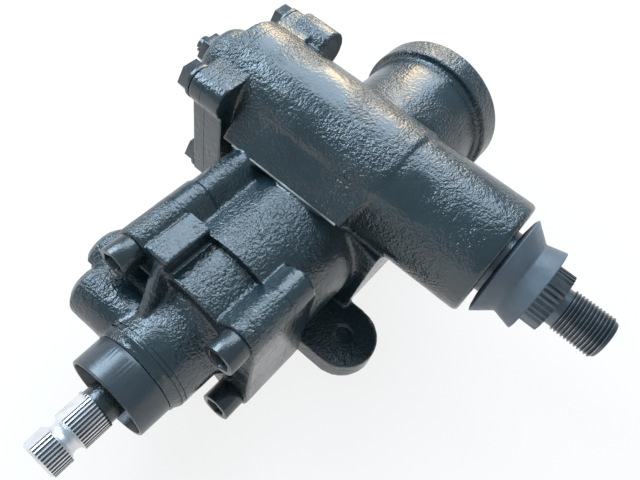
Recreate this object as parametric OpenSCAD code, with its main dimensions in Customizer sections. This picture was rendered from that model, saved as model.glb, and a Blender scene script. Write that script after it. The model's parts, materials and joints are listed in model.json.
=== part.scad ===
// Recirculating ball power steering gear, in millimetres.
// X runs along the worm from the input shaft to the plug, Y along the sector shaft to the side cover,
// Z up from the mounting pads. The origin lies midway between the output side mounting holes.

/* [Layout] */
// Height of the worm axis above the mounting pads
worm_height = 47; // [46.5:0.5:60]
// Distance from the worm axis up to the sector shaft axis
axis_offset = 42; // [41.5:0.1:44]
// Sector axis to the joint face of the valve housing
input_side = 87; // [86:1:110]
// Sector axis to the plug end of the barrel
plug_side = 111; // [106:1:130]
// Worm axis to the joint face of the side cover
cover_side = 64; // [62:1:85]
// Worm axis to the end of the sector trunnion
trunnion_side = 95; // [92:1:125]

/* [Gear housing] */
// Bore that the rack piston runs in, diameter
bore_d = 64; // [63.6:0.1:68]
// Outside diameter of the barrel
barrel_d = 82; // [78:1:90]
// Outside diameter of the collar at the plug end
collar_d = 91; // [86:1:92]
// Length of the collar
collar_len = 17; // [13:1:24]
// Half width of the sector chamber
chamber_r = 33; // [31:0.5:36]
// Sector axis to the edge of the overhanging ledges beside the chamber
ledge_reach = 42; // [39:0.5:46]
// Outside diameter of the trunnion
trunnion_d = 64; // [58:1:70]
// Wall between the chamber and the outside
chamber_wall = 7.5; // [5:0.5:9]
// Thickness of the mounting lugs
lug_t = 14; // [10:1:20]
// Rounding radius of a mounting lug
lug_r = 20; // [14:1:24]
// Mounting thread, hole diameter
mount_hole_d = 11.2; // [8:0.1:14]
// Spacing of the two lugs on the output side
lug_spacing = 94; // [80:1:110]
// Output side lugs to the worm axis
lug_side = 54; // [50:1:66]

/* [Side cover] */
// Thickness of the cover plate
cover_t = 8; // [6:0.5:14]
// Thickness of the housing flange behind the cover
cover_flange_t = 12; // [9:0.5:18]
// Upper cover bolts to the sector axis, sideways
cover_bolt_x = 34; // [32:0.5:38]
// Upper cover bolts above the sector axis
cover_bolt_up = 16; // [12:0.5:22]
// Lower cover bolts below the sector axis
cover_bolt_down = 42; // [36:0.5:46]
// Rounding radius of a bolt ear
cover_ear_r = 9.5; // [9.5:0.5:11]
// Half width of the cover between its straight sides
cover_half_w = 40; // [38:0.5:42]
// Sector axis down to the round foot of the cover
cover_drop = 56; // [50:0.5:58]
// Height of the dome over the shaft end
dome_h = 20; // [14:1:30]

/* [Valve housing] */
// Thickness of the bolted flange
valve_flange_t = 27; // [20:1:40]
// Diameter of the body behind the flange ears
valve_body_d = 74; // [66:1:80]
// Diameter of the nose
nose_d = 52; // [48:0.5:56]
// Length of the nose
nose_len = 33; // [28:1:45]
// Half spacing of the square of flange bolts
valve_bolt_s = 31.5; // [31:0.1:34]
// Place of the bolt beside the gallery, out from the worm axis both ways
valve_far_s = 34; // [32:0.1:35]
// Rounding radius of a flange ear
valve_ear_r = 10; // [9.8:0.1:12]
// Outside diameter of the sleeve
sleeve_d = 45.2; // [42:0.1:47]
// Length of the sleeve beyond the nose
sleeve_len = 16.5; // [10:0.5:30]
// Wall of the sleeve
sleeve_wall = 1.6; // [1:0.1:3]
// Bore of the fluid ports
port_d = 14; // [10:0.5:16]
// Diameter of a port boss
port_boss_d = 31; // [26:0.5:32]

/* [Input shaft] */
// Outside diameter of the input spline
input_spline_d = 20.6; // [18:0.1:21]
// Teeth of the input spline
input_teeth = 36; // [24:1:48]
// Length of the shaft beyond the sleeve mouth
input_reach = 36.5; // [30:0.5:60]
// Diameter of the input shaft at its bearing
input_journal_d = 19; // [16:0.1:20]

/* [Worm and rack] */
// Lead of the worm
worm_lead = 9.5; // [9:0.1:11]
// Ball diameter
ball_d = 5.56; // [4.8:0.01:5.7]
// Circle through the ball centres, diameter
ball_circle_d = 21.2; // [20.8:0.1:22]
// Turns of balls in the nut
ball_turns = 3.5; // [2.5:0.5:3.5]
// Rack module
gear_module = 5; // [4.9:0.05:5.1]
// Pressure angle of the rack and the sector
pressure_angle = 28; // [26:1:30]
// Half width of the sector teeth
face_half = 20; // [16:0.5:20]
// Radial running clearance of turning and sliding fits
run_gap = 0.05; // [0.02:0.01:0.1]
// Backlash between rack and sector at the pitch line
backlash = 0.4; // [0.2:0.05:0.6]

/* [Sector shaft] */
// Diameter of the sector shaft in its needle bearings
journal_d = 35; // [33:0.5:36]
// Diameter of the sector shaft in the cover bush
cover_journal_d = 30; // [26:0.5:30]
// Outside diameter of the output spline
output_spline_d = 31.7; // [28:0.1:33]
// Teeth of the output spline
output_teeth = 32; // [24:4:40]
// Trunnion end to the end of the spline
spline_reach = 34; // [30:0.5:48]
// Thread diameter for the arm nut
thread_d = 22.2; // [20:0.1:24]
// Length of the thread
thread_len = 24; // [18:0.5:34]
// Outer diameter of the dust boot
boot_d = 55.4; // [50:0.2:60]

/* [Hidden] */
$fn = 96;

// Radial gap of pieces that seat in the same body
seat_gap = 0.05;
// Gap of loose faces that move past each other
turn_gap = 0.4;
// Radial room of a bolt in its through hole
bolt_room = 0.5;
// Cuts and joined solids run past a face by this much
over = 1;
chamfer = 2;
sector_h = worm_height + axis_offset;
bore_r = bore_d / 2;
barrel_r = barrel_d / 2;
collar_r = collar_d / 2;

// Places along the worm axis
joint_x = -input_side;
valve_front_x = joint_x - valve_flange_t;
nose_x = valve_front_x - nose_len;
mouth_x = nose_x - sleeve_len;
shaft_tip_x = mouth_x - input_reach;

// End plug with its seal and snap ring
plug_depth = 13;
plug_seat_x = plug_side - plug_depth;
plug_flange_t = 8;
plug_flange_r = bore_r + 1.5;
plug_spigot = 8;
plug_socket_r = 14;
plug_socket_t = 5;
snap_x = plug_seat_x + plug_flange_t;
snap_t = 2;
snap_bite = 2.5;
snap_gap_w = 10;
seal_w = 3;
seal_h = 2.5;

// Places along the sector axis, positive towards the side cover
cover_top_y = cover_side + cover_t;
dome_y = cover_top_y + dome_h;
trunnion_y = -trunnion_side;
chamber_end_y = -34.5;
end_draft = 6.5;
end_draft_h = 20;
cavity_end_y = -24;
cavity_r = chamber_r - chamber_wall;
cavity_floor = 14;

// Rack and sector teeth
sector_teeth = 8;
flank_steps = 7;
pitch_r = sector_teeth * gear_module / 2;
rack_pitch_h = axis_offset - pitch_r;
addendum = 0.75 * gear_module;
dedendum = 0.88 * gear_module;
hub_r = pitch_r - dedendum;
base_r = pitch_r * cos(pressure_angle);
half_tooth = (PI * gear_module / 2 - backlash) / (2 * pitch_r) * 180 / PI;
tooth_radii = [for (k = [0 : flank_steps]) base_r + (pitch_r + addendum - base_r) * k / flank_steps];
rack_pitch = PI * gear_module;
tooth_step = 360 / sector_teeth;

// Rack piston and balls
piston_r = bore_r - run_gap;
piston_start_x = -48;
piston_end_x = plug_seat_x - 26;
rack_half = 32;
ball_circle_r = ball_circle_d / 2;
ball_seat = 0.02;
tunnel_r = ball_circle_r + ball_d / 2 + ball_seat;
balls_per_turn = 11;
nut_centre_x = -25;
plug_len = 12;
plug_step = 1;
piston_socket_r = 6;
piston_socket_t = 5;
piston_ring_back = 12;
piston_ring_x = piston_end_x - piston_ring_back;
ring_w = 4;
ring_h = 3;
guide_len = 30;
guide_w = 16;
guide_t = 5;
guide_top_h = worm_height - tunnel_r - 2;

// Worm
groove_room = 0.9;
worm_r = ball_circle_r + 0.6;
worm_points = 20;
worm_slices = 96;
worm_thread_len = 76;
thread_start_x = nut_centre_x - worm_thread_len / 2;
worm_core_r = ball_circle_r - ball_d / 2 - groove_room;
worm_tail_len = 22;
worm_head_r = 18;
worm_head_t = 6;
worm_head_x = joint_x + 3;
worm_neck_r = 15.8;

// Valve housing inside
skirt_len = 21;
skirt_r = bore_r - 0.3;
skirt_seal_x = joint_x + 4;
bearing_t = 4;
bearing_seat_r = skirt_r - 6;
bearing_nut_t = 7;
bearing_nut_x = worm_head_x + worm_head_t + bearing_t;

// Rotary valve
valve_r = 20;
spool_r = 13;
valve_len = 29;
valve_start_x = joint_x - 2;
valve_end_x = valve_start_x - valve_len;
ring_count = 4;
ring_step = 7.5;
valve_ring_w = 2;
spool_gap = 0.5;
bar_r = 3;
bar_start_x = valve_end_x - 34;
bar_end_x = thread_start_x + 9;
pin_r = 0.9;
pin_circle_r = 14.5;
pin_half = 3;

// Input shaft bearing and seal
input_journal_r = input_journal_d / 2;
input_seal_t = 8;
input_seal_x = nose_x + 1;
seal_r = input_journal_r + 6.5;
seal_land = 1;
spool_land = 4;
input_bearing_x = input_seal_x + input_seal_t + seal_land;
input_bearing_t = valve_end_x - spool_land - input_bearing_x;
bearing_cup_r = input_journal_r + 4;

// Input shaft outside
input_r = input_spline_d / 2;
input_root_r = input_r - 0.7;
input_tip_len = 10.5;
input_groove_len = 6.5;
input_groove_h = 2.2;
second_spline_len = 14;
groove_x = shaft_tip_x + input_tip_len;
second_spline_x = groove_x + input_groove_len;
flat_h = 1.2;
flat_turn = 50;

// Fluid ports
port_depth = 10;
port_rise = 6;
port_hole_r = 3;
seat_t = 4;
seat_d = port_d - 3;
pressure_x = nose_x + port_boss_d / 2;
return_x = valve_front_x;
pressure_reach = 48;
return_reach = 58;
port_round = 4;
fitting_room = 1.5;
pressure_hole_end = 28;
gallery_turn = 34;
gallery_len = 25;
gallery_hole_r = 2.2;

// Sector shaft parts
journal_r = journal_d / 2;
cover_journal_r = cover_journal_d / 2;
trunnion_bore_r = journal_r + 4;
bush_t = 3;
bush_len = 20;
cover_seal_h = 3.5;
spigot_r = cavity_r - cover_seal_h;
cover_seal_w = 2.6;
sector_top_y = cover_side + 4;
boot_seat_len = 17;
boot_seat_y = trunnion_y - boot_seat_len;
spline_end_y = trunnion_y - spline_reach;
thread_chamfer = 1.5;
thread_neck = 3.5;
thread_end_y = spline_end_y - thread_neck - thread_len;
output_r = output_spline_d / 2;
spline_h = 1.1;
master_teeth = 4;
sector_seal_depth = 5;
sector_seal_y = trunnion_y + sector_seal_depth;
sector_seal_t = 8;
outer_bearing_y = sector_seal_y + sector_seal_t + seal_land;
outer_bearing_t = 22;
inner_bearing_t = 20;
ring_groove_y = trunnion_y + 2;
ring_groove_r = trunnion_bore_r + 1.5;
boot_gap = 2.2;
boot_len = 22.2;
boot_lip_t = 1.7;
boot_wall = 2.5;
boot_waist_at = 10.5;

// Adjuster in the end of the sector shaft
slot_y = cover_side - 7;
slot_gap = 0.3;
head_t = 4;
head_r = 8;
screw_r = 5;
nut_t = 8;
nut_r = 9.8;
screw_tip_y = dome_y + nut_t + 5;
driver_slot_w = 1.6;
driver_slot_h = 3;

// Fasteners
bolt_r = 5;
bolt_head_r = 8.3;
bolt_head_h = 12;
bolt_socket_r = 6;
bolt_socket_h = 7;
bolt_depth = 12;
ear_len = 15;
cover_bolt_r = 4;
cover_bolt_hex_r = 8.8;
cover_washer_r = 9.4;
cover_washer_t = 2;
cover_bolt_head_h = 8;
cover_bolt_depth = 9;

// Housing details
valve_bolts = [[valve_far_s, valve_far_s], [valve_bolt_s, -valve_bolt_s],
    [-valve_bolt_s, valve_bolt_s], [-valve_bolt_s, -valve_bolt_s]];
foot_half = chamber_r - 4;
ledge_turn = acos(chamber_r / ledge_reach);
ledge_bury = 0.6;
ledge_lip = 2.5;
ledge_drop = 12;
ledge_start_y = cover_side - cover_flange_t - 3;
cover_low_x = cover_half_w - cover_ear_r;
cover_taper = cover_bolt_down + 4;
cover_bolts = [[cover_bolt_x, cover_bolt_up], [cover_low_x, -cover_bolt_down]];
long_ear_len = 21;
long_ear_r = 12;
collar_fillet = 1.2;
web_half = 33;
web_start_y = -20;
web_out_y = -50;
web_foot_y = -44;
web_top_h = sector_h - 10;
web_end_h = sector_h - 18;
lug_root = 10;
lug_cap = 3.5;
lug_dimple = 1.5;
rear_lug_r = 14;
rear_lug_y = cover_side - rear_lug_r - 3;
rear_lug_root = 14;
rear_lug_h = worm_height - 20;
rear_hole_depth = 15;
dome_r = 20;
dome_round = 8;
dome_foot = 1.5;
nose_r = nose_d / 2;
nose_rim = 2.2;
nose_rim_len = 2.5;
nose_flare = 5;
nose_flare_len = 6;
gusset_t = 6;
gusset_len = 17.5;
gusset_root = 4;
gusset_turn = 24;
gusset_top_r = 48;
pad_y = 12;
pad_w = 14;
pad_foot = 20;
pad_top = 45;
sleeve_r = sleeve_d / 2;
sleeve_foot_r = seal_r + 0.6;

iron = [0.16, 0.18, 0.19];
steel = [0.75, 0.76, 0.78];
dark_steel = [0.35, 0.36, 0.38];
rubber = [0.10, 0.10, 0.11];
bronze = [0.72, 0.55, 0.30];
polymer = [0.85, 0.84, 0.78];

function polar(r, angle) = [r * cos(angle), r * sin(angle)];
function involute(r) = let (phi = acos(min(1, base_r / r))) tan(phi) * 180 / PI - phi;

// Half angle of a sector tooth at a radius
function tooth_half_angle(r) = half_tooth + involute(pitch_r) - involute(max(r, base_r));

// Outline of a sector tooth that points at an angle
function sector_tooth(angle) = concat([[0, 0]],
    [for (r = tooth_radii) polar(r, angle - tooth_half_angle(r))],
    [for (k = [flank_steps : -1 : 0]) polar(tooth_radii[k], angle + tooth_half_angle(tooth_radii[k]))]);

// Outline of one rack space, with x along the rack and y up from the worm axis
function rack_space(x) = let (
        half = rack_pitch / 4,
        low = half - dedendum * tan(pressure_angle),
        high = half + (addendum + 1) * tan(pressure_angle))
    [[x - low, rack_pitch_h - dedendum], [x + low, rack_pitch_h - dedendum],
     [x + high, rack_pitch_h + addendum + 1], [x - high, rack_pitch_h + addendum + 1]];

// Outline of a spline, where masters is the number of wide teeth
function spline_outline(teeth, r_tip, r_root, masters) = [
    for (i = [0 : teeth - 1])
        let (a = 360 / teeth,
             wide = masters > 0 && i % (teeth / max(masters, 1)) == 0,
             after_wide = masters > 0 && (i + teeth - 1) % (teeth / max(masters, 1)) == 0)
        each concat(after_wide ? [] : [polar(r_root, (i - 0.36) * a)],
            [polar(r_tip, (i - 0.17) * a), polar(r_tip, (i + 0.17) * a)],
            wide ? [] : [polar(r_root, (i + 0.36) * a)])];

// Cross section of the worm: a ball groove once round, on the outside of a rod
function worm_outline(count) = [
    for (i = [0 : count - 1])
        let (a = 360 * i / count - 180,
             along = a / 360 * worm_lead,
             groove_r = ball_d / 2 + groove_room,
             room = groove_r * groove_r - along * along)
        polar(room > 0 ? min(worm_r, ball_circle_r - sqrt(room)) : worm_r, a)];

// Moves the worm axis to its place beside the datum, midway between the output side lugs
module from_datum() {
    translate([0, lug_side, 0]) children();
}

// Places children on the worm axis, local z along +X and local x downwards
module on_worm(x) {
    translate([x, 0, worm_height]) rotate([0, 90, 0]) children();
}

// Start of a ring groove on the valve sleeve
function valve_ring_x(k) = valve_end_x + valve_ring_w + ring_step * k;

// Pin across the joint of the worm and the valve sleeve
module drive_pin_rod(r) {
    translate([valve_start_x - pin_half, 0, worm_height + pin_circle_r])
        rotate([0, 90, 0]) cylinder(h = 2 * pin_half, r = r);
}

// Places children on the sector axis, local z along -Y and local y up
module on_sector(y) {
    translate([0, y, sector_h]) rotate([90, 0, 0]) children();
}

module rod_x(x0, x1, r) {
    on_worm(x0) cylinder(h = x1 - x0, r = r);
}

module ring_x(x0, x1, r_out, r_in) {
    on_worm(x0) rotate_extrude() translate([r_in, 0]) square([r_out - r_in, x1 - x0]);
}

module rod_y(y0, y1, r) {
    on_sector(y1) cylinder(h = y1 - y0, r = r);
}

module ring_y(y0, y1, r_out, r_in) {
    on_sector(y1) rotate_extrude() translate([r_in, 0]) square([r_out - r_in, y1 - y0]);
}

// Repeats children at the four flange bolts of the valve housing, local z along +X
module at_valve_bolts(x) {
    for (place = valve_bolts)
        translate([x, place[0], worm_height + place[1]]) rotate([0, 90, 0]) children();
}

// Repeats children at the four cover bolts, local z along -Y
module at_cover_bolts(y) {
    for (sx = [-1, 1], place = cover_bolts)
        translate([sx * place[0], y, sector_h + place[1]]) rotate([90, 0, 0]) children();
}

// Flange outline, x down: a round body with flat sides and four ears on diagonal arms
module valve_flange_outline(body_r) {
    circle(r = body_r);
    square([2 * valve_bolt_s, 2 * (valve_bolt_s + valve_ear_r)], center = true);
    for (place = valve_bolts)
        rotate(atan2(place[0], -place[1])) {
            translate([0, -valve_ear_r]) square([norm(place), 2 * valve_ear_r]);
            translate([norm(place), 0]) circle(r = valve_ear_r);
        }
}

// Cover outline about the sector axis, y up: a round top with two ears, straight sides and a round foot
module cover_outline() {
    circle(r = chamber_r);
    polygon([[-cover_half_w, cover_bolt_up], [cover_half_w, cover_bolt_up], [cover_half_w, -cover_taper],
        [foot_half, -cover_drop], [-foot_half, -cover_drop], [-cover_half_w, -cover_taper]]);
    translate([0, -cover_drop]) circle(r = foot_half);
    for (sx = [-1, 1])
        translate([sx * cover_bolt_x, cover_bolt_up]) circle(r = cover_ear_r);
    translate([-cover_bolt_x, cover_bolt_up]) square([2 * cover_bolt_x, cover_ear_r]);
}

// Chamber outline about the sector axis, y up
module chamber_outline() {
    circle(r = chamber_r);
    translate([-foot_half, -axis_offset]) square([2 * foot_half, axis_offset]);
}

// Flat faces that leave the round top nearly as tangents and end in overhanging ledges
module ledge_outline() {
    touch = polar(chamber_r - ledge_bury, ledge_turn);
    for (sx = [-1, 1])
        polygon([[0, 0], [sx * touch[0], touch[1]], [sx * ledge_reach, 0],
            [sx * (ledge_reach - ledge_lip), -ledge_lip], [sx * foot_half, -ledge_drop], [0, -ledge_drop]]);
}

// Cavity for the sector about the sector axis, open down into the bore
module cavity_outline() {
    circle(r = cavity_r);
    translate([-cavity_r, cavity_floor - axis_offset]) square([2 * cavity_r, axis_offset - cavity_floor]);
}

module barrel() {
    start_x = joint_x + over;
    collar_at = plug_side - collar_len - start_x;
    end_at = plug_side - start_x;
    on_worm(start_x)
        rotate_extrude()
            polygon([[0, 0], [barrel_r, 0], [barrel_r, collar_at - chamfer],
                [barrel_r + collar_fillet, collar_at], [collar_r, collar_at], [collar_r, end_at - chamfer],
                [collar_r - chamfer, end_at], [0, end_at]]);
    on_worm(joint_x) linear_extrude(ear_len) valve_flange_outline(barrel_r);
}

// Rib over the return gallery, from one flange ear to the chamber
module gallery_rib() {
    rib_r = valve_ear_r - chamfer / 2;
    rib_len = input_side - ledge_reach + chamfer;
    translate([joint_x + over, valve_far_s, worm_height + valve_far_s])
        rotate([0, 90, 0]) cylinder(h = rib_len, r = rib_r);
    translate([joint_x + over, 0, worm_height])
        rotate([-45, 0, 0])
            translate([0, -rib_r, 0]) cube([rib_len, 2 * rib_r, norm(valve_bolts[0])]);
}

// Chamber with its ledges, whose end beside the trunnion leans back below
module sector_chamber() {
    difference() {
        union() {
            on_sector(cover_side) linear_extrude(cover_side - chamber_end_y) chamber_outline();
            on_sector(ledge_start_y) linear_extrude(ledge_start_y - chamber_end_y) ledge_outline();
        }
        translate([-ledge_reach - over, 0, 0])
            rotate([90, 0, 90])
                linear_extrude(2 * (ledge_reach + over))
                    polygon([[chamber_end_y - over, sector_h + end_draft_h],
                        [chamber_end_y, sector_h + end_draft_h], [chamber_end_y + end_draft, sector_h],
                        [chamber_end_y + end_draft, worm_height - over],
                        [chamber_end_y - over, worm_height - over]]);
    }
    on_sector(cover_side) linear_extrude(cover_flange_t) cover_outline();
    translate([cover_bolt_x, cover_side, sector_h + cover_bolt_up])
        rotate([90, 0, 0]) cylinder(h = long_ear_len, r = long_ear_r);
}

module trunnion() {
    trunnion_r = trunnion_d / 2;
    rod_y(trunnion_y + chamfer, chamber_end_y + end_draft + over, trunnion_r);
    on_sector(trunnion_y + chamfer) cylinder(h = chamfer, r1 = trunnion_r, r2 = trunnion_r - chamfer / 2);
    translate([-web_half, 0, 0])
        rotate([90, 0, 90])
            linear_extrude(2 * web_half)
                polygon([[web_start_y, web_top_h], [web_out_y, web_end_h], [web_foot_y, lug_t],
                    [web_start_y, lug_t]]);
}

module mounting_lugs() {
    for (sx = [-1, 1])
        translate([sx * lug_spacing / 2, -lug_side, 0]) {
            cylinder(h = lug_t, r = lug_r);
            translate([-lug_r, 0, 0]) cube([2 * lug_r, lug_side - lug_root, lug_t]);
        }
    translate([0, rear_lug_y, 0]) cylinder(h = rear_lug_h, r = rear_lug_r);
    translate([-rear_lug_r, rear_lug_root, 0]) cube([2 * rear_lug_r, rear_lug_y - rear_lug_root, rear_lug_h]);
}

module gear_housing() {
    color(iron) from_datum()
        difference() {
            union() {
                barrel();
                gallery_rib();
                sector_chamber();
                trunnion();
                mounting_lugs();
            }
            rod_x(joint_x - over, plug_seat_x, bore_r);
            rod_x(plug_seat_x - over, plug_side + over, plug_flange_r);
            ring_x(snap_x, snap_x + snap_t, bore_r + 2 * snap_t, bore_r);
            on_sector(cover_side + over) linear_extrude(cover_side + over - cavity_end_y) cavity_outline();
            rod_y(trunnion_y - over, cavity_end_y + over, trunnion_bore_r);
            ring_y(ring_groove_y, ring_groove_y + snap_t, ring_groove_r, trunnion_bore_r - over);
            at_valve_bolts(joint_x - over) cylinder(h = bolt_depth + 2 * over, r = bolt_r + seat_gap);
            at_cover_bolts(cover_side + over)
                cylinder(h = cover_bolt_depth + 2 * over, r = cover_bolt_r + seat_gap);
            for (sx = [-1, 1])
                translate([sx * lug_spacing / 2, -lug_side, 0]) {
                    translate([0, 0, -over]) cylinder(h = lug_t - lug_cap + over, d = mount_hole_d);
                    translate([0, 0, lug_t - lug_dimple])
                        cylinder(h = lug_dimple + over, d = mount_hole_d - chamfer);
                }
            translate([0, rear_lug_y, -over]) cylinder(h = rear_hole_depth + over, d = mount_hole_d);
        }
}

module side_cover() {
    color(iron) from_datum()
        difference() {
            union() {
                on_sector(cover_top_y) linear_extrude(cover_t) cover_outline();
                on_sector(dome_y)
                    rotate_extrude() {
                        square([dome_r - dome_round, dome_h + over]);
                        translate([0, dome_round]) square([dome_r, dome_h + over - dome_round]);
                        translate([dome_r - dome_round, dome_round]) circle(r = dome_round);
                    }
                on_sector(cover_top_y + dome_foot)
                    cylinder(h = dome_foot + over, r1 = dome_r - over, r2 = dome_r + dome_foot);
                rod_y(cover_side - bush_len, cover_side + over, spigot_r);
            }
            rod_y(cover_side - bush_len - over, sector_top_y + chamfer, cover_journal_r + bush_t + seat_gap);
            rod_y(sector_top_y, dome_y + over, screw_r + seat_gap);
            at_cover_bolts(cover_top_y + over) cylinder(h = cover_t + 2 * over, r = cover_bolt_r + bolt_room);
        }
}

module side_cover_gasket() {
    color(rubber) from_datum()
        ring_y(cover_side - cover_seal_w, cover_side, cavity_r - seat_gap, spigot_r + seat_gap);
}

module side_cover_bolts() {
    color(dark_steel) from_datum()
        at_cover_bolts(cover_top_y + cover_bolt_head_h) {
            cylinder(h = cover_bolt_head_h - cover_washer_t, r = cover_bolt_hex_r, $fn = 6);
            translate([0, 0, cover_bolt_head_h - cover_washer_t])
                cylinder(h = cover_washer_t, r = cover_washer_r);
            cylinder(h = cover_bolt_head_h + cover_t + cover_bolt_depth, r = cover_bolt_r);
        }
}

module cover_bush() {
    color(bronze) from_datum()
        ring_y(cover_side - bush_len, cover_side, cover_journal_r + bush_t, cover_journal_r + run_gap);
}

module adjuster_screw() {
    color(dark_steel) from_datum()
        difference() {
            union() {
                rod_y(slot_y, screw_tip_y, screw_r);
                rod_y(slot_y, slot_y + head_t, head_r);
            }
            translate([-screw_r - over, screw_tip_y - driver_slot_h, sector_h - driver_slot_w / 2])
                cube([2 * (screw_r + over), driver_slot_h + over, driver_slot_w]);
        }
}

module adjuster_lock_nut() {
    color(dark_steel) from_datum()
        difference() {
            on_sector(dome_y + nut_t) cylinder(h = nut_t, r = nut_r, $fn = 6);
            rod_y(dome_y - over, dome_y + nut_t + over, screw_r + seat_gap);
        }
}

// Rod square to the worm on the far side of the valve housing, from one distance to another
module port_rod(x, from, to, d) {
    translate([x, from, worm_height + port_rise]) rotate([-90, 0, 0]) cylinder(h = to - from, d = d);
}

module port_bore(x, reach, hole_end) {
    port_rod(x, reach - port_depth, reach + over, port_d);
    port_rod(x, reach - port_depth - seat_t, reach, seat_d);
    port_rod(x, hole_end, reach, 2 * port_hole_r);
}

// Boss of a fluid port with a cast round end
module port_boss(x, reach) {
    port_rod(x, 0, reach - port_round, port_boss_d);
    translate([x, reach - port_round, worm_height + port_rise])
        rotate([-90, 0, 0])
            cylinder(h = port_round, r1 = port_boss_d / 2, r2 = port_boss_d / 2 - port_round);
}

// Fin from the nose up to the pad beside the gallery ear
module gusset() {
    translate([valve_front_x, pad_y, worm_height + pad_foot])
        cube([valve_flange_t, pad_w, pad_top - pad_foot]);
    translate([0, 0, worm_height])
        rotate([-gusset_turn, 0, 0])
            translate([0, gusset_t / 2, 0])
                rotate([90, 0, 0])
                    linear_extrude(gusset_t)
                        polygon([[valve_front_x + gusset_root, nose_r - gusset_root],
                            [valve_front_x - gusset_len, nose_r - gusset_root],
                            [valve_front_x - gusset_len, nose_r + over],
                            [valve_front_x + gusset_root, gusset_top_r]]);
}

module valve_housing() {
    color(iron) from_datum()
        difference() {
            union() {
                on_worm(valve_front_x) linear_extrude(valve_flange_t) valve_flange_outline(valve_body_d / 2);
                on_worm(nose_x)
                    rotate_extrude()
                        polygon([[0, 0], [nose_r - nose_rim, 0], [nose_r - nose_rim, nose_rim_len],
                            [nose_r - over / 2, nose_rim_len + nose_rim], [nose_r, nose_len - nose_flare_len],
                            [nose_r + nose_flare, nose_len + over], [0, nose_len + over]]);
                rod_x(joint_x - over, joint_x + skirt_len, skirt_r);
                port_boss(pressure_x, pressure_reach);
                port_boss(return_x, return_reach);
                gusset();
            }
            rod_x(valve_end_x - spool_land, joint_x + skirt_len + over, valve_r + run_gap);
            rod_x(worm_head_x - bearing_t, joint_x + skirt_len + over, bearing_seat_r);
            ring_x(skirt_seal_x - seat_gap, skirt_seal_x + seal_w + seat_gap, bore_r + over,
                bore_r - seal_h - seat_gap);
            rod_x(input_bearing_x, valve_end_x - spool_land + over, bearing_cup_r + seat_gap);
            rod_x(nose_x - over, input_bearing_x + over, input_journal_r + over);
            rod_x(nose_x - over, input_seal_x + input_seal_t, seal_r + seat_gap);
            at_valve_bolts(nose_x) cylinder(h = nose_len, r = bolt_head_r + bolt_room);
            at_valve_bolts(valve_front_x - over)
                cylinder(h = valve_flange_t + 2 * over, r = bolt_r + bolt_room);
            port_bore(pressure_x, pressure_reach, pressure_hole_end);
            port_rod(pressure_x, pressure_reach + over / 2, return_reach + over, port_d + 2 * fitting_room);
            port_bore(return_x, return_reach, valve_r - over);
            translate([pressure_x, pressure_hole_end + over, worm_height + port_rise])
                rotate([0, 0, -gallery_turn])
                    rotate([0, 90, 0]) cylinder(h = gallery_len, r = gallery_hole_r);
        }
}

module valve_housing_seal() {
    color(rubber) from_datum()
        ring_x(skirt_seal_x, skirt_seal_x + seal_w, bore_r - seat_gap, bore_r - seal_h);
}

module valve_housing_bolts() {
    color(dark_steel) from_datum()
        at_valve_bolts(valve_front_x - bolt_head_h)
            difference() {
                union() {
                    cylinder(h = bolt_head_h, r = bolt_head_r);
                    cylinder(h = bolt_head_h + valve_flange_t + bolt_depth, r = bolt_r);
                }
                translate([0, 0, -over]) cylinder(h = bolt_socket_h + over, r = bolt_socket_r, $fn = 6);
            }
}

module input_sleeve() {
    inner_r = sleeve_r - sleeve_wall;
    color(dark_steel) from_datum()
        on_worm(mouth_x)
            rotate_extrude()
                polygon([[inner_r, 0], [sleeve_r - chamfer / 4, 0], [sleeve_r, chamfer / 4],
                    [sleeve_r + turn_gap, sleeve_len], [sleeve_foot_r, sleeve_len],
                    [sleeve_foot_r, sleeve_len - sleeve_wall], [inner_r, sleeve_len - sleeve_wall]]);
}

module input_seal() {
    color(rubber) from_datum()
        ring_x(input_seal_x, input_seal_x + input_seal_t, seal_r, input_journal_r + run_gap);
}

module input_bearing() {
    color(steel) from_datum()
        ring_x(input_bearing_x, input_bearing_x + input_bearing_t, bearing_cup_r, input_journal_r + run_gap);
}

module worm_bearing_inner() {
    start_x = worm_head_x + worm_head_t + run_gap;
    color(steel) from_datum() ring_x(start_x, bearing_nut_x, bearing_seat_r - seat_gap, worm_r + chamfer);
}

module worm_bearing_outer() {
    color(steel) from_datum()
        ring_x(worm_head_x - bearing_t, worm_head_x - run_gap, bearing_seat_r - seat_gap,
            worm_neck_r + turn_gap);
}

module worm_bearing_nut() {
    color(dark_steel) from_datum()
        ring_x(bearing_nut_x, bearing_nut_x + bearing_nut_t, bearing_seat_r - seat_gap, worm_r + over);
}

// Flare seat at the bottom of a fluid port
module port_seat(x, reach) {
    color(bronze) from_datum()
        difference() {
            port_rod(x, reach - port_depth - seat_t, reach - port_depth, seat_d - 2 * seat_gap);
            port_rod(x, reach - port_depth - seat_t - over, reach, 2 * port_hole_r);
        }
}

module pressure_seat() {
    port_seat(pressure_x, pressure_reach);
}

module return_seat() {
    port_seat(return_x, return_reach);
}

module end_plug() {
    color(dark_steel) from_datum()
        difference() {
            union() {
                rod_x(plug_seat_x, plug_seat_x + plug_flange_t, plug_flange_r - seat_gap);
                rod_x(plug_seat_x - plug_spigot, plug_seat_x + over, bore_r - seat_gap);
            }
            ring_x(plug_seat_x - 2 * seal_w, plug_seat_x - seal_w, bore_r + over, bore_r - seal_h);
            rod_x(snap_x - plug_socket_t, snap_x + over, plug_socket_r);
        }
}

module end_plug_seal() {
    color(rubber) from_datum()
        ring_x(plug_seat_x - 2 * seal_w + seat_gap, plug_seat_x - seal_w - seat_gap, bore_r - seat_gap,
            bore_r - seal_h + seat_gap);
}

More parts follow.
